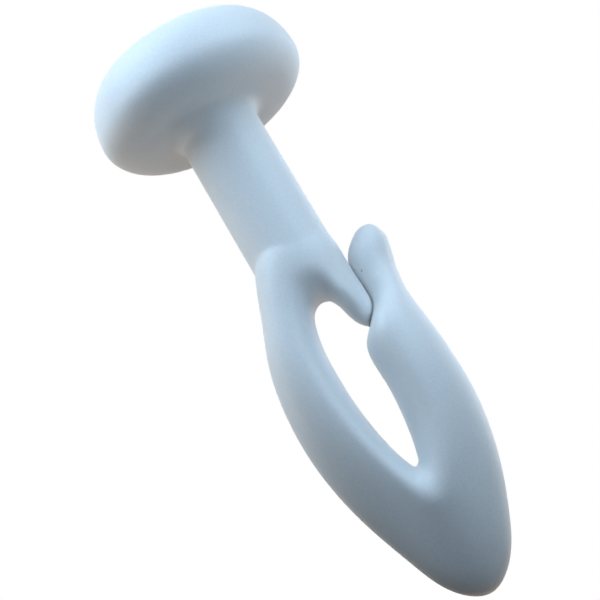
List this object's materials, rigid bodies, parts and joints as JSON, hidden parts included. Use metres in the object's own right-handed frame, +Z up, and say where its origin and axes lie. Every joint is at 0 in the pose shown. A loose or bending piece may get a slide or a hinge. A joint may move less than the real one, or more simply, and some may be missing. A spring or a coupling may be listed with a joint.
{
  "type": "curtain glider",
  "caption": "White plastic curtain glider: a round button head that runs in a track, a straight neck, and a long teardrop loop with a snap gate for the curtain hook.",
  "frame": {"origin": "on the neck's axis, at the underside of the head, where the head rests on the lips of the track", "axes": "+Z up through the head, +X in the plane of the loop towards the gate and its finger, +Y towards the back, the side the finger leans to"},
  "size_m": [0.0112, 0.0112, 0.0316],
  "materials": {
    "plastic": "smooth white moulded plastic with a soft sheen"
  },
  "bodies": {
    "root": {"glider": "plastic"}
  },
  "joints": []
}
